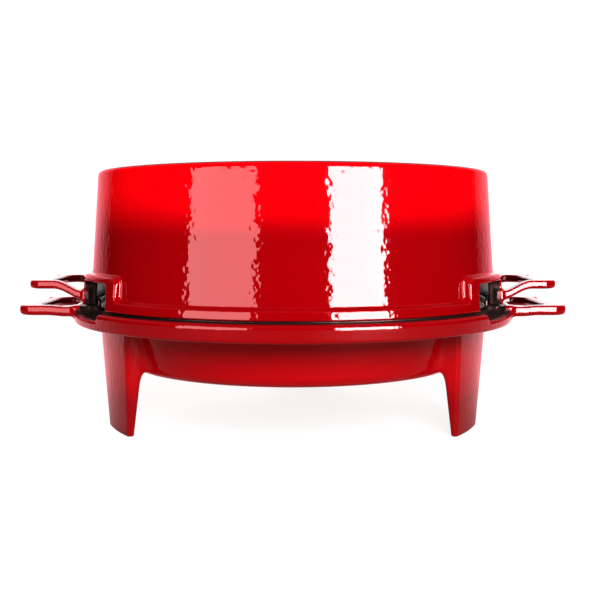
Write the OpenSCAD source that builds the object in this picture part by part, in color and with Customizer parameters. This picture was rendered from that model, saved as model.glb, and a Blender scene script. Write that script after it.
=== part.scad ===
// Enamelled cast iron oven in two castings: a shallow pan on three legs,
// and a deep pot that stands upside down on it as its cover.
// The floor under the legs is z = 0, the handles lie along X and the front faces -Y.

/* [Pot] */
// Outer radius of the pot's wall at its open rim
pot_r = 157.6; // [130:0.2:190]
// How much smaller that radius is at the closed end
pot_taper = 5.4; // [2:0.2:10]
// Height of the pot, rim to closed end
pot_h = 100.3; // [80:0.1:130]
// Wall thickness of both castings
wall = 4; // [3.4:0.1:5]
// Thickness of the pot's closed end and of the pan's floor
floor_t = 4.6; // [4:0.1:6]
// Radius round the outside of the closed end
pot_edge_r = 3; // [2:0.5:3.5]
// Radius round the inside of the closed end
pot_inner_r = 9; // [6:0.5:14]

/* [Pot rim] */
// How far the rim flange stands out from the wall
flange_out = 5.9; // [4:0.1:8]
// Height of the rim flange
flange_h = 7.1; // [5:0.1:9]
// Height of each window's roof above the rim
window_h = 18.9; // [14:0.1:24]
// Height of the arch of flange over each window
arch_t = 5.5; // [4:0.1:8]
// Width of the flange down the side of each window, in degrees round the pot
arch_side = 4.2; // [3:0.1:6]
// Where each window ends, in degrees round the pot from its handle's middle
window_side = 37.7; // [32:0.1:45]

/* [Pan] */
// How far the pan's rim stands out past the pot's flange
ledge_w = 7.1; // [4:0.1:10]
// Height of the band round the pan's rim
band_h = 12; // [9:0.1:15]
// Thickness of that band and of the rim's flat top
band_t = 6; // [4:0.1:7]
// Depth of the pan, outside, from its rim's top to its underside
pan_h = 46; // [36:0.1:60]
// Width of the pan's rim, from its edge in to the pan's wall
rim_w = 27.4; // [22:0.2:34]
// How much smaller that radius is at the foot of the wall
pan_taper = 9.2; // [4:0.2:14]
// Radius round the outside of the pan's foot
pan_edge_r = 10; // [6:0.5:12]
// Depth of the dip in the rim under each window
dip_h = 4.5; // [2:0.1:5]

/* [Seat] */
// Height of the seat ring above the pan's ledge
seat_h = 1.3; // [0.8:0.1:2]
// How far the seat ring stays inside the flange's edge
seat_inset = 2.5; // [1.5:0.1:3.5]
// Height left between the seat ring and the pot's rim
seat_clear = 0.1; // [0.05:0.05:0.3]
// Height of the locating lip above the seat ring
lip_h = 4; // [2:0.1:6]
// Thickness of the locating lip
lip_t = 3.4; // [2.5:0.1:4]
// Space between the lip and the inside of the pot
lip_clear = 0.6; // [0.4:0.1:1.2]

/* [Legs] */
// Height of the pan's underside above the floor
leg_h = 41.7; // [30:0.1:60]
// Directions of the legs round the pan, in degrees from the front
leg_azimuth = 62; // [56:1:64]
// Width of a leg at the floor
leg_foot_w = 47.5; // [30:0.5:60]
// How much wider a leg is where it meets the rim
leg_spread = 17; // [8:0.5:24]
// How far the legs stand in from the rim's edge at the floor
leg_foot_in = 26.2; // [24:0.2:40]
// How far they stand in where they meet the rim
leg_top_in = 19.6; // [15:0.2:21]
// Thickness of a leg at the floor
leg_foot_t = 4.6; // [4:0.1:8]
// Thickness of a leg level with the pan's underside
leg_knee_t = 10.6; // [8:0.1:14]

/* [Handles] */
// Half the width of the pan's handles
pan_handle_w = 47; // [40:0.5:58]
// Reach of the pan's handles past the pan's rim
pan_handle_out = 36.9; // [30:0.1:50]
// Thickness of the pan's handles
pan_handle_t = 7.4; // [6:0.1:9]
// Half the width of the pot's handles
pot_handle_w = 45; // [38:0.5:52]
// Reach of the pot's handles past the pot's flange
pot_handle_out = 36.8; // [30:0.1:50]
// Thickness of the pot's handles
pot_handle_t = 6.3; // [5:0.1:8]
// Height of the pot handle's grip above the rim, to its middle
pot_grip_z = 15; // [12:0.1:20]
// Height of the pot handle's root above the rim, to its middle
pot_root_z = 6.7; // [4:0.1:9]
// Width of each handle's arms
arm_w = 10; // [8:0.1:13]
// Width of each handle's outer bar
bar_w = 13.3; // [10:0.1:16]
// Radius of the handles' outer corners
handle_corner_r = 8; // [5:0.5:12]
// Radius of the finger gap's outer corners
gap_corner_r = 12; // [6:0.5:14]
// How far the outer bar bows out at its middle
bar_bow = 2; // [1:0.1:4]

/* [Hidden] */
$fn = 180;
red = "#c4000c";
dark_red = "#a3000a";

// Radii of the small edges.
band_edge_r = 2;
rim_edge_r = 1.2;
lip_edge_r = 1;
flange_edge_r = 2;
tip_edge_r = 1;

// Small bevels and offsets.
band_lean = 0.6; // how far the band's lower edge stands in
band_draft = 1; // how much thinner the band is down there
lip_foot = 1; // how far the lip's inner face goes down past the ledge
funnel_drop = 3; // and how far below the rim's flat the pan's inner wall starts
rim_bevel = 1;
arch_bevel = 1.5;
arch_start = 2; // where the flange down a window's side starts, above the rim
foot_bevel = 1;
foot_bevel_out_h = 1.5;
foot_bevel_in_h = 2;
foot_corner = 3;
leg_sink = 2; // how far a leg reaches into the pan before it is cut to it
over = 1; // how far a cutter passes the face that it cuts
lug_gap = 0.1; // degrees between a lug and the castings' windows and dips

// Directions where an arc stops, in degrees.
pan_wall_a = 12;
bar_corner_a = 8;

// How the handles meet the castings and end.
pan_grip_up = 0.8; // top of the pan handle's grip above the pan's ledge
pan_grip_rise = 1; // from its root to its grip
pan_bend = 14; // length of that rise
pan_root_in = 20; // how far its arms start inside the rim
pan_nose_r = 3;
pot_bend = 23;
pot_root_in = 12;
pot_root_sink = 0.5; // how far its arms reach into the lug
pot_nose_r = 2;

// Heights, from the floor up.
pan_z = leg_h;
ledge_z = pan_z + pan_h;
band_z = ledge_z - band_h;
plate_z = ledge_z - band_t;
seat_z = ledge_z + seat_h;
rim_z = seat_z + seat_clear;
roof_z = rim_z + window_h;
arch_z = roof_z + arch_t;
top_z = rim_z + pot_h;

// Radii that follow from the pot.
pot_in_r = pot_r - wall;
flange_r = pot_r + flange_out;
pan_r = flange_r + ledge_w;
lip_r = pot_in_r - lip_clear;
lip_in_r = lip_r - lip_t;
pan_top_r = pan_r - rim_w;
leg_foot_r = pan_r - leg_foot_in;
leg_top_r = pan_r - leg_top_in;

// The handles hold the middle of each side, with a window on both sides of them.
lug_side = asin(pot_handle_w / flange_r) + lug_gap;
pan_lug_side = asin(pan_handle_w / pan_r) + lug_gap;
far = 2 * pan_r;

// Points along an arc about c, from angle a0 to a1.
function arc(c, r, a0, a1, n = 6) =
  [for (i = [0:n]) c + r * [cos(a0 + (a1 - a0) * i / n), sin(a0 + (a1 - a0) * i / n)]];

// A share of a ramp that starts and ends level.
function ease(t) = (1 - cos(180 * t)) / 2;

// A wedge round Z centred on +X, half as wide as side degrees each way, from z0 to z1.
module wedge(side, z0, z1) {
  translate([0, 0, z0])
    linear_extrude(z1 - z0)
      polygon([[0, 0], far * [cos(side), -sin(side)], far * [1, 0], far * [cos(side), sin(side)]]);
}

// Puts its children on both sides, the second copy turned half round.
module both_sides() {
  for (turn = [0, 180]) rotate([0, 0, turn]) children();
}

// ---- Pan ----

pan_foot_c = [pan_top_r - pan_taper - pan_edge_r, pan_z + pan_edge_r];

// The pan's outside as one filled solid, which the legs are cut to.
module pan_outside() {
  rotate_extrude()
    polygon(concat([[0, ledge_z], [0, pan_z]], arc(pan_foot_c, pan_edge_r, -90, -pan_wall_a, 8),
      [[pan_top_r, plate_z], [pan_top_r, ledge_z]]));
}

module pan_section() {
  inner_c = [pan_foot_c[0], pan_z + floor_t + pan_edge_r - wall];
  band_c = [pan_r - band_edge_r - band_lean, band_z + band_edge_r];
  lip_z = seat_z + lip_h - lip_edge_r;
  polygon(concat(
    [[0, pan_z + floor_t], [0, pan_z]],
    arc(pan_foot_c, pan_edge_r, -90, -pan_wall_a, 8),
    [[pan_top_r, plate_z], [pan_r - band_t, plate_z], [pan_r - band_t + band_draft, band_z]],
    arc(band_c, band_edge_r, -80, -10, 4),
    [[pan_r, band_z + 2 * band_edge_r]],
    arc([pan_r - rim_edge_r, ledge_z - rim_edge_r], rim_edge_r, 0, 90, 4),
    [[flange_r - seat_inset, ledge_z], [flange_r - seat_inset, seat_z], [lip_r, seat_z]],
    arc([lip_r - lip_edge_r, lip_z], lip_edge_r, 0, 90, 4),
    arc([lip_in_r + lip_edge_r, lip_z], lip_edge_r, 90, 180, 4),
    [[lip_in_r, ledge_z - lip_foot], [pan_top_r - wall, plate_z - funnel_drop]],
    arc(inner_c, pan_edge_r - wall, -pan_wall_a, -90, 6)
  ));
}

module pan() {
  color(red) difference() {
    rotate_extrude() pan_section();
    // Dips under the windows, cut through the seat ring and the lip too.
    both_sides() difference() {
      wedge(window_side, ledge_z - dip_h, top_z);
      wedge(pan_lug_side, ledge_z - dip_h - over, top_z + over);
    }
  }
}

// ---- Legs ----

// A leg's section through the middle, before the pan is cut from it.
module leg_section() {
  knee_r = leg_foot_r + (leg_top_r - leg_foot_r) * leg_h / plate_z;
  polygon([
    [leg_foot_r - leg_foot_t + foot_bevel, 0], [leg_foot_r - foot_bevel, 0],
    [leg_foot_r, foot_bevel_out_h], [leg_top_r, plate_z], [pan_top_r - leg_sink, plate_z],
    [pan_top_r - pan_taper - leg_sink / 2, pan_z + pan_edge_r],
    [knee_r - leg_knee_t, pan_z], [leg_foot_r - leg_foot_t, foot_bevel_in_h]
  ]);
}

// One leg, standing on the +X side.
module leg() {
  foot_w = leg_foot_w / 2;
  top_w = foot_w + leg_spread / 2;
  color(red) difference() {
    intersection() {
      rotate_extrude() leg_section();
      rotate([90, 0, 90])
        linear_extrude(far)
          polygon([[-top_w, plate_z + over], [-foot_w, foot_corner], [-foot_w + foot_corner, -over],
            [foot_w - foot_corner, -over], [foot_w, foot_corner], [top_w, plate_z + over]]);
    }
    pan_outside();
  }
}

module leg_left() { rotate([0, 0, -90 - leg_azimuth]) leg(); }
module leg_right() { rotate([0, 0, -90 + leg_azimuth]) leg(); }
module leg_back() { rotate([0, 0, 90]) leg(); }

// ---- Handles ----

// A loop handle seen from above: arms of half width w reach to tip, round a finger gap.
module loop_plan(w, root, tip) {
  side_x = tip - bar_bow;
  bow_r = (w * w + bar_bow * bar_bow) / (2 * bar_bow);
  corner = [side_x - handle_corner_r, w - handle_corner_r];
  bow = asin((w - handle_corner_r) / bow_r);
  gap = [tip - bar_w - gap_corner_r, w - arm_w - gap_corner_r];
  difference() {
    polygon(concat(
      [[root, -w]],
      arc([corner[0], -corner[1]], handle_corner_r, -90, -bar_corner_a, 6),
      arc([tip - bow_r, 0], bow_r, -bow, bow, 8),
      arc(corner, handle_corner_r, bar_corner_a, 90, 6),
      [[root, w]]
    ));
    polygon(concat(
      [[root - over, -w + arm_w]],
      arc([gap[0], -gap[1]], gap_corner_r, -90, 0, 6),
      arc(gap, gap_corner_r, 0, 90, 6),
      [[root - over, w - arm_w]]
    ));
  }
}

// A bar of thickness t seen from the side, rising from z0 at x0 to z1 at x1 and level to tip.
module bar_side(t, root, x0, z0, x1, z1, tip, nose) {
  steps = 8;
  rise = [for (i = [0:steps]) [x0 + (x1 - x0) * i / steps, z0 + (z1 - z0) * ease(i / steps)]];
  polygon(concat(
    [[root, z0 - t / 2]],
    [for (p = rise) p - [0, t / 2]],
    arc([tip - nose, z1 - t / 2 + nose], nose, -90, 0, 4),
    arc([tip - tip_edge_r, z1 + t / 2 - tip_edge_r], tip_edge_r, 0, 90, 2),
    [for (i = [steps:-1:0]) rise[i] + [0, t / 2]],
    [[root, z0 + t / 2]]
  ));
}

// A pan handle on the +X side: level with the rim, a little lower at its root.
module pan_handle() {
  tip = pan_r + pan_handle_out;
  root = pan_r - pan_root_in;
  grip_z = ledge_z + pan_grip_up - pan_handle_t / 2;
  root_z = grip_z - pan_grip_rise;
  tall = top_z - pan_z;
  color(dark_red) difference() {
    intersection() {
      translate([0, 0, pan_z]) linear_extrude(tall) loop_plan(pan_handle_w, root, tip);
      rotate([90, 0, 0]) translate([0, 0, -far / 2]) linear_extrude(far)
        bar_side(pan_handle_t, root, pan_r, root_z, pan_r + pan_bend, grip_z, tip, pan_nose_r);
    }
    // Cut to the pan's rim band, which it is cast onto.
    translate([0, 0, pan_z]) cylinder(r = pan_r, h = tall);
  }
}

module pan_handle_right() { pan_handle(); }
module pan_handle_left() { rotate([0, 0, 180]) pan_handle(); }

// A pot handle on the +X side: the lug between two windows, and the loop it carries.
module pot_handle() {
  tip = flange_r + pot_handle_out;
  lug_x = sqrt(flange_r * flange_r - pot_handle_w * pot_handle_w);
  root = lug_x - pot_root_in;
  color(dark_red) {
    intersection() {
      rotate_extrude() pot_band_section(0);
      wedge(lug_side, rim_z, roof_z);
    }
    difference() {
      intersection() {
        translate([0, 0, rim_z]) linear_extrude(pot_h) loop_plan(pot_handle_w, root, tip);
        rotate([90, 0, 0]) translate([0, 0, -far / 2]) linear_extrude(far)
          bar_side(pot_handle_t, root, lug_x - over, rim_z + pot_root_z, lug_x + pot_bend,
            rim_z + pot_grip_z, tip, pot_nose_r);
      }
      translate([0, 0, rim_z - over]) cylinder(r = flange_r - pot_root_sink, h = pot_h);
    }
  }
}

module pot_handle_right() { pot_handle(); }
module pot_handle_left() { rotate([0, 0, 180]) pot_handle(); }

// ---- Pot ----

// The wall's outer and inner radii at a height above the rim.
function pot_out_at(h) = pot_r - pot_taper * h / pot_h;
function pot_in_at(h) = pot_out_at(h) - wall;

// The wall thickened out to the flange, as high as the arches, from inset inside its inner face.
module pot_band_section(inset) {
  polygon([[pot_in_at(0) + inset, rim_z], [flange_r, rim_z], [flange_r, arch_z - arch_bevel],
    [flange_r - arch_bevel, arch_z], [pot_in_at(arch_z - rim_z) + inset, arch_z]]);
}

module pot_section() {
  top_r = pot_out_at(pot_h);
  edge_c = [top_r - pot_edge_r, top_z - pot_edge_r];
  inner_c = [pot_in_at(pot_h - floor_t) - pot_inner_r, top_z - floor_t - pot_inner_r];
  flange_c = [flange_r - flange_edge_r, rim_z + flange_h - flange_edge_r];
  polygon(concat(
    [[pot_in_at(0), rim_z], [flange_r - rim_bevel, rim_z], [flange_r, rim_z + rim_bevel],
      [flange_r, flange_c[1]]],
    arc(flange_c, flange_edge_r, 20, 90, 4),
    [[pot_out_at(flange_h), rim_z + flange_h]],
    arc(edge_c, pot_edge_r, 0, 90, 5),
    [[0, top_z], [0, top_z - floor_t]],
    arc(inner_c, pot_inner_r, 90, 0, 8)
  ));
}

module pot() {
  color(red) difference() {
    union() {
      rotate_extrude() pot_section();
      both_sides() intersection() {
        rotate_extrude() pot_band_section(wall / 2);
        wedge(window_side + arch_side, rim_z + arch_start, arch_z + over);
      }
    }
    both_sides() wedge(window_side, 0, roof_z);
  }
}

pan();
leg_left();
leg_right();
leg_back();
pan_handle_left();
pan_handle_right();
pot();
pot_handle_left();
pot_handle_right();
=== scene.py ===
import math
import bpy
import mathutils
import numpy as np
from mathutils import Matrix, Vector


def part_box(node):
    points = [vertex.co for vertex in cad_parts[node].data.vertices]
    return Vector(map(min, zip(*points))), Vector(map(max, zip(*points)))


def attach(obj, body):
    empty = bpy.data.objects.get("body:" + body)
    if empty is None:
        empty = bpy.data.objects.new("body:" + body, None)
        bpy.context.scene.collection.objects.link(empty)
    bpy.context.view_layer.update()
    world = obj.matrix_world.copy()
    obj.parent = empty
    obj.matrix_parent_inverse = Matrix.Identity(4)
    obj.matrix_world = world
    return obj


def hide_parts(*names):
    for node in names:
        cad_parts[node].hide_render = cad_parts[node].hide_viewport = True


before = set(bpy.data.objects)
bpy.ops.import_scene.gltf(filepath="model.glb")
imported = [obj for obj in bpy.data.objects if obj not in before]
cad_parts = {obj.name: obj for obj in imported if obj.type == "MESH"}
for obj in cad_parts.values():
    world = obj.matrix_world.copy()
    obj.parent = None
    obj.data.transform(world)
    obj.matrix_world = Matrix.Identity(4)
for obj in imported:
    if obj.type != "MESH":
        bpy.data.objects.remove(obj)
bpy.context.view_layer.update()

mm = 0.001  # shapes below are worked out in millimetres


# Lowest and highest corner of a CAD piece in mm.
def boxMm(node):
    return [np.array(corner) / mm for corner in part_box(node)]


rimZ, topZ = (corner[2] for corner in boxMm("pot"))  # the pot's open rim and its closed end
underZ = boxMm("pan")[0][2]


# Smallest of two distances, with a fillet where they cross. k is about 1.2 times its radius.
def softMin(a, b, k):
    h = np.maximum(1 - np.abs(a - b) / k, 0)
    return np.minimum(a, b) - h * h * k / 4


def softMax(a, b, k):
    return -softMin(-a, -b, k)


# Distance to a rectangle from low to high in a plane, with round corners.
def roundBox(u, v, low, high, radius):
    du = np.abs(u - (low[0] + high[0]) / 2) - (high[0] - low[0]) / 2 + radius
    dv = np.abs(v - (low[1] + high[1]) / 2) - (high[1] - low[1]) / 2 + radius
    outside = np.hypot(np.maximum(du, 0), np.maximum(dv, 0))
    return outside + np.minimum(np.maximum(du, dv), 0) - radius


# A share of a ramp that starts and ends level.
def ease(t):
    return (1 - np.cos(np.pi * np.clip(t, 0, 1))) / 2


# How far out a loop's bar reaches, and the gap between its arms.
def loopTip(ay, h):
    return h["tip"] - h["bow"] * (ay / h["halfWidth"]) ** 2


def loopGap(x, y, h):
    ax, ay = np.abs(x), np.abs(y)
    arms = ay - h["halfWidth"] + h["armWidth"]
    return softMax(arms, ax - loopTip(ay, h) + h["barWidth"], 1.2 * h["gapR"])


# A loop handle on both sides: two arms and a bar that bows out, between a lower and an upper face.
def loopHandle(x, y, z, h, top, bottom):
    ax, ay = np.abs(x), np.abs(y)
    outer = softMax(ay - h["halfWidth"], ax - loopTip(ay, h), 1.2 * h["cornerR"])
    loop = softMax(outer, -loopGap(x, y, h), h["gapEdge"])
    nearBar = np.clip((ax - h["tip"] + h["barWidth"]) / h["crownFade"], 0, 1)
    crown = np.clip((h["halfWidth"] - h["cornerR"] - ay) / h["cornerR"], 0, 1) * nearBar
    loop = softMax(loop, z - top, h["topEdge"] + h["barCrown"] * crown)
    loop = softMax(loop, bottom - z, h["bottomEdge"])
    return softMax(loop, h["rootR"] - np.hypot(x, y), h["rootEdge"])


pot = {
    "rimR": 157.6,  # wall's outer radius at the rim
    "taper": 5.4,  # how much smaller it is at the closed end
    "wall": 4.0,
    "endThick": 4.6,
    "edge": 3.6,  # round the closed end, outside
    "innerEdge": 11.0,
    "ringWidth": 5.0,  # of the ground ring that the pot stands on when it is the right way up
    "flangeR": 163.5,
    "flangeH": 7.1,
    "roofH": 18.9,  # window roof above the rim
    "archH": 24.4,  # top of the flange over a window
    "windowEnd": 37.7,  # degrees from the handle's middle
    "archEnd": 41.9,
    "archEdge": 6.0,  # the arch's top leans back to the wall
    "archCorner": 6.0,
    "archFillet": 5.0,  # where an arch runs down into the flange
    "flangeEdge": 2.2,
    "flangeDraft": 0.06,  # slope of the flange's face, so that it leaves the mould
    "windowCorner": 5.6,
    "rimEdge": 1.3,
    "fillet": 1.9,
    "lugFillet": 4.0,
}

potHandle = {
    "tip": boxMm("pot_handle_right")[1][0],
    "bow": 2.0,
    "halfWidth": 45.0,
    "armWidth": 10.0,
    "barWidth": 13.3,
    "cornerR": 8.0,
    "gapR": 12.0,
    "topEdge": 1.9,
    "barCrown": 7.0,  # the bar's outer edge is rounder for the fingers
    "crownFade": 6.0,
    "gapEdge": 1.5,
    "rootEdge": 1.0,
    "bottomEdge": 2.8,
    "thick": 6.3,
    "gripZ": 15.0,  # middle of the grip above the rim
    "rootZ": 6.7,
    "rise": 24.0,  # length of the bend between them
    "bendIn": 1.0,  # how far inside the lug's face it starts
    "rootR": 159.5,
    "lugGap": 0.1,  # degrees between the lug and a window
}
lugEnd = math.asin(potHandle["halfWidth"] / pot["flangeR"]) + math.radians(potHandle["lugGap"])


# The pot's wall as a cone, and the angle round from the nearer handle.
def potWall(x, y, z):
    slope = pot["taper"] / (topZ - rimZ)
    r = np.hypot(x, y)
    return r, (r - pot["rimR"] + slope * (z - rimZ)) / math.hypot(1, slope)


def potOutside(x, y, z):
    r, wall = potWall(x, y, z)
    body = softMax(wall, z - topZ, pot["edge"])
    along = np.arctan2(np.abs(y), np.abs(x)) * pot["flangeR"]
    archEnd = math.radians(pot["archEnd"]) * pot["flangeR"]
    arch = softMax(along - archEnd, z - rimZ - pot["archH"], pot["archCorner"])
    band = softMin(z - rimZ - pot["flangeH"], arch, pot["archFillet"])
    rise = np.clip((z - rimZ - pot["flangeH"]) / (pot["archH"] - pot["flangeH"]), 0, 1)
    face = r - pot["flangeR"] + pot["flangeDraft"] * (z - rimZ)
    flange = softMax(face, band, pot["flangeEdge"] + (pot["archEdge"] - pot["flangeEdge"]) * rise ** 4)
    return softMin(body, flange, pot["fillet"])


def potLoops(x, y, z):
    lugX = math.sqrt(pot["flangeR"] ** 2 - potHandle["halfWidth"] ** 2)
    bend = ease((np.abs(x) - lugX + potHandle["bendIn"]) / potHandle["rise"])
    middle = rimZ + potHandle["rootZ"] + (potHandle["gripZ"] - potHandle["rootZ"]) * bend
    half = potHandle["thick"] / 2
    return loopHandle(x, y, z, potHandle, middle + half, middle - half)


def potSolid(x, y, z):
    r, wall = potWall(x, y, z)
    hollow = softMax(wall + pot["wall"], z - topZ + pot["endThick"], pot["innerEdge"])
    shell = np.maximum(potOutside(x, y, z), -hollow)
    along = np.arctan2(np.abs(y), np.abs(x)) * pot["flangeR"]
    windowEnd = math.radians(pot["windowEnd"]) * pot["flangeR"]
    window = np.maximum(along - windowEnd, lugEnd * pot["flangeR"] - along)
    window = softMax(window, z - rimZ - pot["roofH"], pot["windowCorner"])
    shell = softMax(shell, -window, pot["rimEdge"])
    shell = softMax(shell, rimZ - z, pot["rimEdge"])
    return softMin(shell, potLoops(x, y, z), pot["lugFillet"])


pan = {
    "rimR": boxMm("pan")[1][0],
    "ledgeZ": 87.7,
    "rimThick": 6.0,
    "bandH": 12.0,
    "bandLean": 1.4,  # how much smaller the band is at its lower edge
    "rimWidth": 27.4,
    "wallSlope": 0.2935,
    "wall": 4.0,
    "floorThick": 4.6,
    "footEdge": 8.0,
    "innerEdge": 9.0,
    "dipH": 4.5,
    "dipEdge": 6.0,
    "seatR": 161.0,
    "seatH": 1.3,
    "seatEdge": 0.5,
    "lipR": 153.0,
    "lipThick": 3.4,
    "lipH": 5.3,
    "lipEdge": 1.2,
    "lipFillet": 1.0,
    "lipFoot": 1.0,  # how far the lip's inner face goes down past the ledge
    "funnelSlope": 0.77,  # from there to the pan's wall
    "funnelDrop": 3.0,
    "rimEdge": 3.6,
    "bandEdge": 2.6,
    "skirtEdge": 1.5,
    "innerRimEdge": 1.5,
    "bandFillet": 5.0,  # between the band and the rim's flat, underneath
    "dishFillet": 6.0,
    "dipCorner": 1.0,
    "dipRound": 3.0,
    "gripFillet": 4.0,
}

panHandle = {
    "tip": boxMm("pan_handle_right")[1][0],
    "bow": 2.0,
    "halfWidth": 47.0,
    "armWidth": 10.0,
    "barWidth": 13.3,
    "cornerR": 8.0,
    "gapR": 12.0,
    "topEdge": 1.9,
    "barCrown": 7.0,  # the bar's outer edge is rounder for the fingers
    "crownFade": 6.0,
    "gapEdge": 1.5,
    "rootEdge": 1.0,
    "bottomEdge": 3.6,
    "thick": 7.4,
    "topZ": 88.5,
    "rootDrop": 0.9,
    "rise": 14.0,
    "rootR": 166.0,
}

leg = {
    "azimuth": 62.0,  # degrees from the front
    "footR": 144.4,
    "topR": 151.0,
    "footWidth": 47.5,
    "spread": 17.0,
    "footThick": 4.6,
    "kneeThick": 10.6,
    "edge": 3.4,
    "fillet": 9.0,
    "wallFillet": 4.0,
    "filletTop": 18.0,  # mm above the pan's underside where the small fillet takes over
    "filletFade": 10.0,
    "footEdge": 0.9,
    "sink": 3.0,  # how far a leg reaches up into the rim
}
panTopR = pan["rimR"] - pan["rimWidth"]
plateZ = pan["ledgeZ"] - pan["rimThick"]


# The pan's filled outside, left open upwards.
def panOutside(x, y, z):
    r = np.hypot(x, y)
    wall = (r - panTopR + (plateZ - z) * pan["wallSlope"]) / math.hypot(1, pan["wallSlope"])
    dish = softMax(wall, underZ - z, pan["footEdge"])
    outer = r - pan["rimR"] + pan["bandLean"] * np.clip((pan["ledgeZ"] - z) / pan["bandH"], 0, 1)
    plate = np.maximum(panTopR - pan["wall"] - r, plateZ - z)
    skirt = softMax(pan["ledgeZ"] - pan["bandH"] - z, pan["rimR"] - pan["rimThick"] - r, pan["skirtEdge"])
    rim = softMax(softMin(plate, skirt, pan["bandFillet"]), outer, pan["bandEdge"])
    return softMin(dish, rim, pan["dishFillet"]), wall


def panLoops(x, y, z):
    bend = ease((np.abs(x) - pan["rimR"]) / panHandle["rise"])
    top = panHandle["topZ"] - panHandle["rootDrop"] * (1 - bend)
    return loopHandle(x, y, z, panHandle, top, top - panHandle["thick"])


def legs(x, y, z):
    result = None
    for azimuth in (-90 - leg["azimuth"], -90 + leg["azimuth"], 90):
        a = math.radians(azimuth)
        across = -x * math.sin(a) + y * math.cos(a)
        forward = x * math.cos(a) + y * math.sin(a)
        r = np.hypot(across, forward)
        up = z / plateZ
        outer = r - leg["footR"] - (leg["topR"] - leg["footR"]) * up
        thick = leg["footThick"] + (leg["kneeThick"] - leg["footThick"]) * z / underZ
        body = softMax(outer, -outer - thick, leg["edge"])
        body = softMax(body, np.abs(across) - (leg["footWidth"] + leg["spread"] * up) / 2, leg["edge"])
        body = np.maximum(body, -forward)
        body = softMax(body, -z, leg["footEdge"])
        body = np.maximum(body, z - plateZ - leg["sink"])
        result = body if result is None else np.minimum(result, body)
    return result


def panSolid(x, y, z):
    r = np.hypot(x, y)
    outside, wall = panOutside(x, y, z)
    hollow = softMax(wall + pan["wall"], underZ + pan["floorThick"] - z, pan["innerEdge"])
    lipIn = pan["lipR"] - pan["lipThick"]
    funnel = pan["ledgeZ"] - pan["lipFoot"] - z + (r - lipIn) * pan["funnelSlope"]
    funnel = funnel / math.hypot(1, pan["funnelSlope"])
    funnel = np.maximum(np.maximum(funnel, r - lipIn), plateZ - pan["funnelDrop"] - z)
    hollow = np.minimum(hollow, funnel)
    body = softMax(outside, z - pan["ledgeZ"], pan["rimEdge"])
    seat = roundBox(r, z, (lipIn, plateZ), (pan["seatR"], pan["ledgeZ"] + pan["seatH"]), pan["seatEdge"])
    lip = roundBox(r, z, (lipIn, plateZ), (pan["lipR"], pan["ledgeZ"] + pan["lipH"]), pan["lipEdge"])
    body = softMin(body, np.minimum(seat, lip), pan["lipFillet"])
    body = softMax(body, -hollow, pan["innerRimEdge"])
    along = np.arctan2(np.abs(y), np.abs(x)) * pan["rimR"]
    dipEnd = math.radians(pot["windowEnd"]) * pan["rimR"]
    dip = softMax(along - dipEnd, lugEnd * pan["rimR"] - along, pan["dipCorner"])
    dip = softMax(dip, pan["ledgeZ"] - pan["dipH"] - z, pan["dipEdge"])
    body = softMax(body, -dip, pan["dipRound"])
    low = np.clip((underZ + leg["filletTop"] - z) / leg["filletFade"], 0, 1)
    fillet = leg["wallFillet"] + (leg["fillet"] - leg["wallFillet"]) * low
    body = softMin(body, legs(x, y, z), fillet)
    return softMin(body, panLoops(x, y, z), pan["gripFillet"])


# Grid lines from stops: (where, spacing), (where, spacing) ... (end, 0).
def gridLines(stops):
    lines = [np.linspace(a, b, max(int(round((b - a) / step)), 1), endpoint=False)
             for (a, step), (b, _) in zip(stops, stops[1:])]
    return np.concatenate(lines + [[stops[-1][0]]])


# Angles for the whole turn from the quarter between a handle and the front.
def fullTurn(front, back):
    q1, q2 = gridLines(back)[:-1], gridLines(front)[:-1]
    half = np.concatenate([q1, 180 - gridLines(back)[::-1][:-1]])
    other = np.concatenate([180 + q2, 360 - gridLines(front)[::-1][:-1]])
    return np.radians(np.concatenate([half, other]))


# The slope of a distance field at points, by small steps.
def slopeOf(solid, p, step=0.05):
    steps = np.eye(3) * step
    return np.stack([(solid(*(p + s).T) - solid(*(p - s).T)) / (2 * step) for s in steps], 1)


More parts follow.
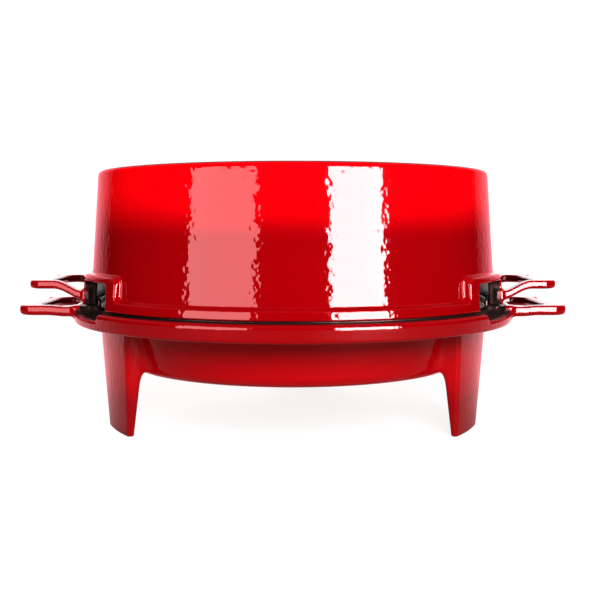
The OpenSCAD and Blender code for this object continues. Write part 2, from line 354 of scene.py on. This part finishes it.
# One closed skin round a solid, on a grid of angles, radii and heights.
def castSkin(solid, turn, radii, heights):
    t, r, z = np.meshgrid(turn, radii, heights, indexing="ij")
    points = np.stack([r * np.cos(t), r * np.sin(t), z], -1)
    field = solid(points[..., 0], points[..., 1], z)
    inside = field < 0
    shape = (len(turn), len(radii) - 1, len(heights) - 1)
    total, count = np.zeros(shape + (3,)), np.zeros(shape)
    crossings = []
    for axis in range(3):
        if axis == 0:
            nextPoint, nextField, nextIn = (np.roll(a, -1, 0) for a in (points, field, inside))
            here = (slice(None),) * 3
        else:
            nextCell = [slice(None)] * 3
            nextCell[axis] = slice(1, None)
            here = [slice(None)] * 3
            here[axis] = slice(None, -1)
            here, nextCell = tuple(here), tuple(nextCell)
            nextPoint, nextField, nextIn = points[nextCell], field[nextCell], inside[nextCell]
        found = np.argwhere(inside[here] != nextIn)
        ids = tuple(found.T)
        a, b = field[here][ids], nextField[ids]
        share = (a / (a - b))[:, None]
        place = points[here][ids] * (1 - share) + nextPoint[ids] * share
        crossings.append((axis, found, inside[here][ids]))
        others = [n for n in range(3) if n != axis]
        for da in (0, 1):
            for db in (0, 1):
                cell = found.copy()
                cell[:, others[0]] -= da
                cell[:, others[1]] -= db
                cell[:, 0] %= shape[0]
                good = (cell[:, 1:] >= 0).all(1) & (cell[:, 1:] < shape[1:]).all(1)
                where = tuple(cell[good].T)
                np.add.at(total, where, place[good])
                np.add.at(count, where, 1)
    used = np.argwhere(count > 0)
    number = np.full(shape, -1)
    number[tuple(used.T)] = np.arange(len(used))
    p = total[tuple(used.T)] / count[tuple(used.T)][:, None]
    faces = []
    for axis, found, isIn in crossings:
        others = [n for n in range(3) if n != axis]
        ring = []
        for da, db in ((1, 1), (0, 1), (0, 0), (1, 0)):
            cell = found.copy()
            cell[:, others[0]] -= da
            cell[:, others[1]] -= db
            cell[:, 0] %= shape[0]
            ring.append(cell)
        whole = found[:, 1] > 0 if axis != 1 else np.ones(len(found), bool)
        corner = np.stack([number[tuple(c[whole].T)] for c in ring], 1)
        flip = isIn[whole] != (axis == 1)
        corner[flip] = corner[flip][:, ::-1]
        faces.append(corner)
    return p, np.concatenate(faces), used[:, 1] == 0


# Pulls a skin's points onto the solid's surface, joins them on the axis and gives normals.
def settleSkin(solid, p, faces, onAxis):
    for _ in range(4):
        slope = slopeOf(solid, p)
        push = solid(*p.T)[:, None] * slope / np.maximum((slope ** 2).sum(1, keepdims=True), 0.2)
        size = np.linalg.norm(push, axis=1, keepdims=True)
        p = p - push * np.minimum(1, 0.7 / np.maximum(size, 1e-9))
    p[onAxis, :2] = 0
    keep = np.arange(len(p))
    for level in np.unique(np.round(p[onAxis, 2], 1)):
        same = np.flatnonzero(onAxis & (np.abs(p[:, 2] - level) < 0.2))
        keep[same] = same[0]
    faces = [tuple(dict.fromkeys(f)) for f in keep[faces].tolist()]
    faces = [f for f in faces if len(f) > 2]
    usedPoints = np.unique(np.concatenate([np.array(f) for f in faces]))
    renumber = np.full(len(p), -1)
    renumber[usedPoints] = np.arange(len(usedPoints))
    faces = [tuple(renumber[list(f)].tolist()) for f in faces]
    p = p[usedPoints]
    normals = slopeOf(solid, p)
    return p, faces, normals / np.linalg.norm(normals, axis=1, keepdims=True)


# How sharply the surface turns at each point, above 0 on outer edges.
def edgeSharpness(solid, p, step=0.7):
    steps = np.eye(3) * step
    around = sum(solid(*(p + s).T) + solid(*(p - s).T) for s in steps)
    return (around - 6 * solid(*p.T)) / step ** 2


def makeCasting(name, solid, marks, turn, radii, heights):
    p, faces, onAxis = castSkin(solid, turn, radii, heights)
    p, faces, normals = settleSkin(solid, p, faces, onAxis)
    mesh = bpy.data.meshes.new(name)
    mesh.from_pydata((p * mm).tolist(), [], faces)
    mesh.shade_smooth()
    mesh.normals_split_custom_set_from_vertices(normals.tolist())
    marks = {key: mark(*p.T) for key, mark in marks.items()}
    marks["edgeSharp"] = edgeSharpness(solid, p)
    for key, values in marks.items():
        mesh.attributes.new(key, "FLOAT", "POINT").data.foreach_set("value", values.astype(np.float32))
    casting = bpy.data.objects.new(name, mesh)
    bpy.context.scene.collection.objects.link(casting)
    print(name, len(p), "points", len(faces), "faces")
    return casting


coat = {
    "bare": 5.0,  # a depth that is black on both castings
    "ringH": 0.9,  # how far down the ground ring of the closed end is bare
    "ledgeH": 1.5,  # the pan's ledge is red at its edge, down to this far below its top
    "dipInset": 3.0,  # the dips are black from this much further out
    "plateUp": 0.7,  # where the underside's red stops, above the rim's lower face
    "wallInset": 3.3,  # the walls are thinner than the red of the ledge is wide
    "gapShadeWidth": 1.6,  # of the painted shade on the walls of a finger gap
    "gapShadeStart": 3.0,
}


# How far a point of the pot lies in from its red skin, in mm. The end's rim is a bare ground ring.
def potDepth(x, y, z):
    depth = -np.minimum(potOutside(x, y, z), potLoops(x, y, z))
    ring = (z > topZ - coat["ringH"]) & (np.hypot(x, y) > pot["rimR"] - pot["taper"] - pot["ringWidth"])
    return np.where(ring, coat["bare"], depth)


# The same for the pan. Its ledge is red near the edge only, and less so in the dips.
def panDepth(x, y, z):
    rim = np.hypot(x, y) - pan["rimR"]
    rim = np.where(z > pan["ledgeZ"] - coat["ledgeH"], rim, rim - coat["dipInset"])
    outside = np.where(z > plateZ + coat["plateUp"], rim, panOutside(x, y, z)[0] - coat["wallInset"])
    return -np.minimum(np.minimum(outside, panLoops(x, y, z)), legs(x, y, z))


# 1 on the walls of a loop's gap, where the red is darkened as painted shade.
def paintedGapShade(x, y, z, h, low, high):
    near = np.clip(1 - loopGap(x, y, h) / coat["gapShadeWidth"], 0, 1)
    return near * (np.hypot(x, y) > h["rootR"] + coat["gapShadeStart"]) * (z > low) * (z < high)


handleQuarter = [(0, 1.5), (9, 0.5), (14.5, 0.3), (18, 0.6), (36, 0.3), (44.5, 1.5), (90, 0)]
legQuarter = [(0, 1.5), (9, 0.5), (14.5, 0.3), (18, 0.6), (36, 0.3), (44.5, 1.5), (75, 0.5), (90, 0)]

potCasting = makeCasting(
    "potCasting", potSolid,
    {"coatDepth": potDepth,
     "paintedGapShade": lambda x, y, z: paintedGapShade(x, y, z, potHandle, rimZ, rimZ + 19)},
    fullTurn(handleQuarter, handleQuarter),
    gridLines([(0, 10), (130, 3), (145, 0.8), (166, 1.3), (204, 0)]),
    gridLines([(rimZ - 2, 0.7), (rimZ + 28, 4), (topZ - 16, 0.8), (topZ + 1.5, 0)]))

panCasting = makeCasting(
    "panCasting", panSolid,
    {"coatDepth": panDepth,
     "paintedGapShade": lambda x, y, z: paintedGapShade(x, y, z, panHandle, plateZ - 5, topZ)},
    fullTurn(handleQuarter, legQuarter),
    gridLines([(0, 10), (110, 2.5), (130, 1.1), (173, 1.3), (210, 0)]),
    gridLines([(-1.6, 0.8), (4.8, 3), (36, 1.2), (54, 2.5), (72, 0.7), (95, 0)]))


# Turns an sRGB hex colour into linear values.
def linear(hexColour, alpha=1.0):
    parts = [int(hexColour[i:i + 2], 16) / 255 for i in (1, 3, 5)]
    return [c / 12.92 if c <= 0.04045 else ((c + 0.055) / 1.055) ** 2.4 for c in parts] + [alpha]


# Adds a node. Inputs are values, or sockets to link; settings are the node's own properties.
def addNode(tree, kind, inputs=None, **settings):
    node = tree.nodes.new(kind)
    for key, value in settings.items():
        setattr(node, key, value)
    for key, value in (inputs or {}).items():
        if isinstance(value, bpy.types.NodeSocket):
            tree.links.new(value, node.inputs[key])
        else:
            node.inputs[key].default_value = value
    return node


enamel = {
    "thinEdge": "#4c1410",
    # painted shade: the dark red on the walls of a loop's gap
    "paintedShadeRed": "#2c0203",
    "legShadeRed": "#7c0004",  # painted shade: the legs darken to this below the pan
    "legShadeZ": 24.0,  # mm
    "glassTint": "#ffa5a6",  # of what the red glass mirrors face on
    "black": "#141210",
    "redRoughness": 0.05,
    "blackRoughness": 0.32,
    "mottle": 0.10,
    "mottleSpacing": 70.0,  # mm
    "peelSpacing": 5.0,  # mm between the dimples of the fired glass
    "peelHeight": 0.24,  # mm, deeper than real so that it shows
    "swellSpacing": 30.0,
    "swellHeight": 0.25,
    "gritDetail": 2.0,
    "mottleDetail": 3.0,
    "peelDetail": 1.0,
    "swellDetail": 0.5,
    "thinFrom": 0.6,  # sharpness where the glass starts to thin over an edge
    "thinTo": 1.8,
    "thinShare": 0.7,
    "edgeWander": 0.5,  # mm by which the line between red and black wavers
    "ior": 1.5,
    "gritSpacing": 1.4,  # coarser than the real grit, for the same reason
    "gritHeight": 0.04,
}


# Vitreous enamel, glass fired on iron: a deep wet gloss outside with orange peel that thins over
# the edges, with painted shade that darkens it towards the rim, on the legs below the pan and in
# the loops' gaps, and a satin black ground coat with fine grit inside.
def vitreousEnamel(name, reds):
    material = bpy.data.materials.new(name)
    material.use_nodes = True
    tree = material.node_tree
    tree.nodes.clear()
    place = addNode(tree, "ShaderNodeTexCoord").outputs["Object"]
    moved = addNode(tree, "ShaderNodeVectorMath", {
        0: place, 1: reds["patternShift"]}, operation="ADD").outputs[0]
    depth = addNode(tree, "ShaderNodeAttribute", attribute_name="coatDepth").outputs["Fac"]
    sharp = addNode(tree, "ShaderNodeAttribute", attribute_name="edgeSharp").outputs["Fac"]
    height = addNode(tree, "ShaderNodeSeparateXYZ", {0: place}).outputs["Z"]

    grit, mottle, peel, swell = [
        addNode(tree, "ShaderNodeTexNoise", {
            "Vector": moved, "Scale": 1 / (enamel[pattern + "Spacing"] * mm),
            "Detail": enamel[pattern + "Detail"]}).outputs["Fac"]
        for pattern in ("grit", "mottle", "peel", "swell")]
    # Painted shade: the red darkens towards the rim of each casting.
    fade = addNode(tree, "ShaderNodeMapRange", {
        "Value": height, "From Min": reds["rimZ"] * mm, "From Max": reds["endZ"] * mm},
        interpolation_type="SMOOTHSTEP").outputs[0]
    cloudy = addNode(tree, "ShaderNodeMath", {0: mottle, 1: -0.5}, operation="ADD").outputs[0]
    share = addNode(tree, "ShaderNodeMath", {
        0: cloudy, 1: enamel["mottle"], 2: fade}, operation="MULTIPLY_ADD", use_clamp=True).outputs[0]
    faded = addNode(tree, "ShaderNodeMix", {
        "Factor": share, 6: linear(reds["rimRed"]), 7: linear(reds["endRed"])}, data_type="RGBA").outputs[2]
    # Painted shade on the legs below the pan.
    legShade = addNode(tree, "ShaderNodeMapRange", {
        "Value": height, "From Min": underZ * mm, "From Max": enamel["legShadeZ"] * mm}).outputs[0]
    legShaded = addNode(tree, "ShaderNodeMix", {
        "Factor": legShade, 6: faded, 7: linear(enamel["legShadeRed"])}, data_type="RGBA").outputs[2]
    isThin = addNode(tree, "ShaderNodeMapRange", {
        "Value": sharp, "From Min": enamel["thinFrom"], "From Max": enamel["thinTo"],
        "To Max": enamel["thinShare"]}).outputs[0]
    worn = addNode(tree, "ShaderNodeMix", {
        "Factor": isThin, 6: legShaded, 7: linear(enamel["thinEdge"])}, data_type="RGBA").outputs[2]
    # Painted shade in the loops' finger gaps.
    gapShadeShare = addNode(tree, "ShaderNodeAttribute", attribute_name="paintedGapShade").outputs["Fac"]
    paintedShadeRed = addNode(tree, "ShaderNodeMix", {
        "Factor": gapShadeShare, 6: worn, 7: linear(enamel["paintedShadeRed"])}, data_type="RGBA").outputs[2]
    wander = addNode(tree, "ShaderNodeMath", {
        0: grit, 1: enamel["edgeWander"], 2: depth}, operation="MULTIPLY_ADD").outputs[0]
    isBlack = addNode(tree, "ShaderNodeMapRange", {
        "Value": wander, "From Min": reds["redDepth"],
        "From Max": reds["redDepth"] + enamel["edgeWander"]}).outputs[0]
    colour = addNode(tree, "ShaderNodeMix", {
        "Factor": isBlack, 6: paintedShadeRed, 7: linear(enamel["black"])}, data_type="RGBA").outputs[2]
    gloss = addNode(tree, "ShaderNodeMapRange", {
        "Value": isBlack, "To Min": enamel["redRoughness"], "To Max": enamel["blackRoughness"]}).outputs[0]
    waves = addNode(tree, "ShaderNodeBump", {
        "Height": swell, "Strength": 1.0, "Distance": enamel["swellHeight"] * mm})
    dimples = addNode(tree, "ShaderNodeBump", {
        "Height": peel, "Normal": waves.outputs[0], "Strength": 1.0, "Distance": enamel["peelHeight"] * mm})
    rough = addNode(tree, "ShaderNodeBump", {
        "Height": grit, "Normal": dimples.outputs[0], "Strength": isBlack,
        "Distance": enamel["gritHeight"] * mm})
    shader = addNode(tree, "ShaderNodeBsdfPrincipled", {
        "Base Color": colour, "Roughness": gloss, "Normal": rough.outputs[0], "IOR": enamel["ior"],
        "Specular Tint": linear(enamel["glassTint"])})
    addNode(tree, "ShaderNodeOutputMaterial", {"Surface": shader.outputs[0]})
    return material


potReds = {
    "rimRed": "#840004",
    "endRed": "#ef0007",
    "rimZ": 138.0,  # mm above the floor, where the painted shade that darkens the wall towards the rim starts to clear
    "endZ": 176.0,  # and where it is fully bright
    "redDepth": 1.2,  # mm of red seen round an edge before the black starts
    "patternShift": (0.0, 0.0, 0.0),
}
# The pan's red is darker up under the band than lower down: painted shade under the band.
panReds = {
    "rimRed": "#820004",
    "endRed": "#9c0005",
    "rimZ": 80.0,
    "endZ": 50.0,
    "redDepth": 4.5,
    "patternShift": (0.37, 0.21, 0.13),
}

potCasting.data.materials.append(vitreousEnamel("potVitreousEnamel", potReds))
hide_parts("pot", "pot_handle_left", "pot_handle_right")
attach(potCasting, "pot_casting")

panCasting.data.materials.append(vitreousEnamel("panVitreousEnamel", panReds))
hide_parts("pan", "leg_left", "leg_right", "leg_back", "pan_handle_left", "pan_handle_right")
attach(panCasting, "pan_casting")
print("enamel on")


studio = {
    "camera": (0.0024, -0.704, 0.1481),
    "shiftDown": 0.1182,  # of the frame, with the camera level
    "focal": 53.5,
    "floor": "#707070",
    "floorR": 0.8,  # m
    "floorSides": 96,
    "floorGlow": 0.86,
    "floorBounce": 0.5,
    "floorMirror": 1.3,  # how bright the back half is where the gloss mirrors it
    "floorTint": (1.0, 0.30, 0.34, 1.0),
    "floorMirrorY": (-0.10, 0.12),  # m
    "backdrop": 1.05,
    "fill": 0.3,
    "mirrorY": (0.55, 0.75, 0.92, 0.97),  # how far back each mirrored tone of the backdrop starts
    "mirrorTone": (0.02, 1.25, 1.9, 1.7),
    "mirrorTint": (1.0, 0.25, 0.30, 1.0),
    "whiteY": (0.92, 0.97),  # where the tint clears to white
    "overhead": 0.5,  # soft box above, mirrored by what faces up
    "overheadZ": (0.22, 0.60),
    "flagR": 0.19,
    "flagLow": 0.193,
    "flagTop": 0.235,
    "flagTurn": 65,  # degrees to each side of the front
    "flagSteps": 40,
}
# Where each light stands and looks to and its size in metres, its watts, and whether the gloss mirrors it.
# The strips are only mirrored, and the keys only light the colour.
lights = {
    "leftStrip": ((-0.268, -0.429, 0.135), (0.023, -0.015, 0.135), 0.286, 0.27, 2.35, True),
    "rightStrip": ((0.2545, -0.4475, 0.135), (-0.0215, -0.013, 0.135), 0.233, 0.27, 12.2, True),
    "backKey": ((-0.5, 1.7, 0.85), (0, 0, 0.1), 0.9, 0.7, 32.0, False),
    "key": ((0.3, -1.7, 0.85), (0, 0, 0.1), 0.9, 0.7, 58.0, False),
}


def areaLight(name, place, target, width, height, watts, mirrored):
    lamp = bpy.data.lights.new(name, "AREA")
    lamp.shape = "RECTANGLE"
    lamp.size, lamp.size_y, lamp.energy = width, height, watts
    light = bpy.data.objects.new(name, lamp)
    light.location = place
    away = mathutils.Vector(target) - mathutils.Vector(place)
    light.rotation_euler = away.to_track_quat("-Z", "Y").to_euler()
    light.visible_camera = False
    light.visible_glossy = mirrored
    light.visible_diffuse = not mirrored
    bpy.context.scene.collection.objects.link(light)


for name, settings in lights.items():
    areaLight(name, *settings)

floorMesh = bpy.data.meshes.new("floor")
around = np.linspace(0, 2 * math.pi, studio["floorSides"], endpoint=False)
floorMesh.from_pydata(
    [(studio["floorR"] * math.cos(a), studio["floorR"] * math.sin(a), 0) for a in around],
    [], [tuple(range(len(around)))])
floor = bpy.data.objects.new("floor", floorMesh)
bpy.context.scene.collection.objects.link(floor)
paper = bpy.data.materials.new("mattStudioPaper")  # pale, and lifted to white where it is looked at
paper.use_nodes = True
paper.node_tree.nodes.clear()
ray = addNode(paper.node_tree, "ShaderNodeLightPath")
bounce = addNode(paper.node_tree, "ShaderNodeMath", {
    0: ray.outputs["Is Diffuse Ray"], 1: studio["floorBounce"]}, operation="MULTIPLY").outputs[0]
behind = addNode(paper.node_tree, "ShaderNodeSeparateXYZ", {
    0: addNode(paper.node_tree, "ShaderNodeTexCoord").outputs["Object"]}).outputs["Y"]
mirrored = addNode(paper.node_tree, "ShaderNodeMapRange", {
    "Value": behind, "From Min": studio["floorMirrorY"][0], "From Max": studio["floorMirrorY"][1],
    "To Max": studio["floorMirror"]}).outputs[0]
bounce = addNode(paper.node_tree, "ShaderNodeMath", {
    0: ray.outputs["Is Glossy Ray"], 1: mirrored, 2: bounce}, operation="MULTIPLY_ADD").outputs[0]
lift = addNode(paper.node_tree, "ShaderNodeMath", {
    0: ray.outputs["Is Camera Ray"], 1: studio["floorGlow"], 2: bounce}, operation="MULTIPLY_ADD")
paperTint = addNode(paper.node_tree, "ShaderNodeMix", {
    "Factor": ray.outputs["Is Glossy Ray"], 6: (1, 1, 1, 1), 7: studio["floorTint"]},
    data_type="RGBA").outputs[2]
sheetShader = addNode(paper.node_tree, "ShaderNodeBsdfPrincipled", {
    "Base Color": linear(studio["floor"]), "Roughness": 0.8, "Specular IOR Level": 0.1,
    "Emission Color": paperTint, "Emission Strength": lift.outputs[0]})
addNode(paper.node_tree, "ShaderNodeOutputMaterial", {"Surface": sheetShader.outputs[0]})
floorMesh.materials.append(paper)

# A low black flag, seen by the gloss only, keeps the strips out of the closed end from behind.
flagMesh = bpy.data.meshes.new("flag")
flagTurns = np.radians(np.linspace(-studio["flagTurn"], studio["flagTurn"], studio["flagSteps"]))
flagMesh.from_pydata(
    [(studio["flagR"] * math.sin(a), -studio["flagR"] * math.cos(a), z)
     for a in flagTurns for z in (studio["flagLow"], studio["flagTop"])],
    [], [(2 * i, 2 * i + 2, 2 * i + 3, 2 * i + 1) for i in range(len(flagTurns) - 1)])
flag = bpy.data.objects.new("flag", flagMesh)
bpy.context.scene.collection.objects.link(flag)
felt = bpy.data.materials.new("mattBlackFelt")  # swallows what falls on it
felt.use_nodes = True
felt.node_tree.nodes.clear()
feltShader = addNode(felt.node_tree, "ShaderNodeBsdfPrincipled", {
    "Base Color": (0.002, 0.002, 0.002, 1), "Roughness": 1.0, "Specular IOR Level": 0.0})
addNode(felt.node_tree, "ShaderNodeOutputMaterial", {"Surface": feltShader.outputs[0]})
flagMesh.materials.append(felt)
for kind in ("camera", "diffuse", "transmission", "shadow"):
    setattr(flag, "visible_" + kind, False)

world = bpy.data.worlds.new("whiteStudio")
bpy.context.scene.world = world
world.use_nodes = True
sky = world.node_tree
sky.nodes.clear()
toward = addNode(sky, "ShaderNodeTexCoord").outputs["Generated"]
aim = addNode(sky, "ShaderNodeSeparateXYZ", {0: toward})
tone = studio["mirrorTone"][0]
starts, tones = studio["mirrorY"], studio["mirrorTone"]
for start, end, low, high in zip(starts, starts[1:], tones, tones[1:]):
    step = addNode(sky, "ShaderNodeMapRange", {
        "Value": aim.outputs["Y"], "From Min": start, "From Max": end, "To Min": 0.0, "To Max": high - low})
    tone = addNode(sky, "ShaderNodeMath", {0: tone, 1: step.outputs[0]}, operation="ADD").outputs[0]
above = addNode(sky, "ShaderNodeMapRange", {
    "Value": aim.outputs["Z"], "From Min": studio["overheadZ"][0], "From Max": studio["overheadZ"][1],
    "To Max": studio["overhead"]}, interpolation_type="SMOOTHSTEP").outputs[0]
tone = addNode(sky, "ShaderNodeMath", {0: tone, 1: above}, operation="MAXIMUM").outputs[0]
path = addNode(sky, "ShaderNodeLightPath")
soft = addNode(sky, "ShaderNodeMix", {
    "Factor": path.outputs["Is Diffuse Ray"], 2: tone, 3: studio["fill"]}).outputs[0]
strength = addNode(sky, "ShaderNodeMix", {
    "Factor": path.outputs["Is Camera Ray"], 2: soft, 3: studio["backdrop"]}).outputs[0]
whiter = addNode(sky, "ShaderNodeMapRange", {
    "Value": aim.outputs["Y"], "From Min": studio["whiteY"][0], "From Max": studio["whiteY"][1]}).outputs[0]
plain = addNode(sky, "ShaderNodeMath", {
    0: path.outputs["Is Diffuse Ray"], 1: path.outputs["Is Camera Ray"]}, operation="ADD").outputs[0]
whiter = addNode(sky, "ShaderNodeMath", {0: whiter, 1: plain}, operation="ADD", use_clamp=True).outputs[0]
tint = addNode(sky, "ShaderNodeMix", {
    "Factor": whiter, 6: studio["mirrorTint"], 7: (1, 1, 1, 1)}, data_type="RGBA").outputs[2]
glow = addNode(sky, "ShaderNodeBackground", {"Color": tint, "Strength": strength})
addNode(sky, "ShaderNodeOutputWorld", {"Surface": glow.outputs[0]})

cameraData = bpy.data.cameras.new("camera")
cameraData.lens = studio["focal"]
cameraData.sensor_width = 36.0
camera = bpy.data.objects.new("camera", cameraData)
camera.location = studio["camera"]
camera.rotation_euler = (math.radians(90), 0, 0)
cameraData.shift_y = -studio["shiftDown"]
bpy.context.scene.collection.objects.link(camera)
bpy.context.scene.camera = camera
bpy.context.scene.view_settings.view_transform = "Standard"
print("studio ready")
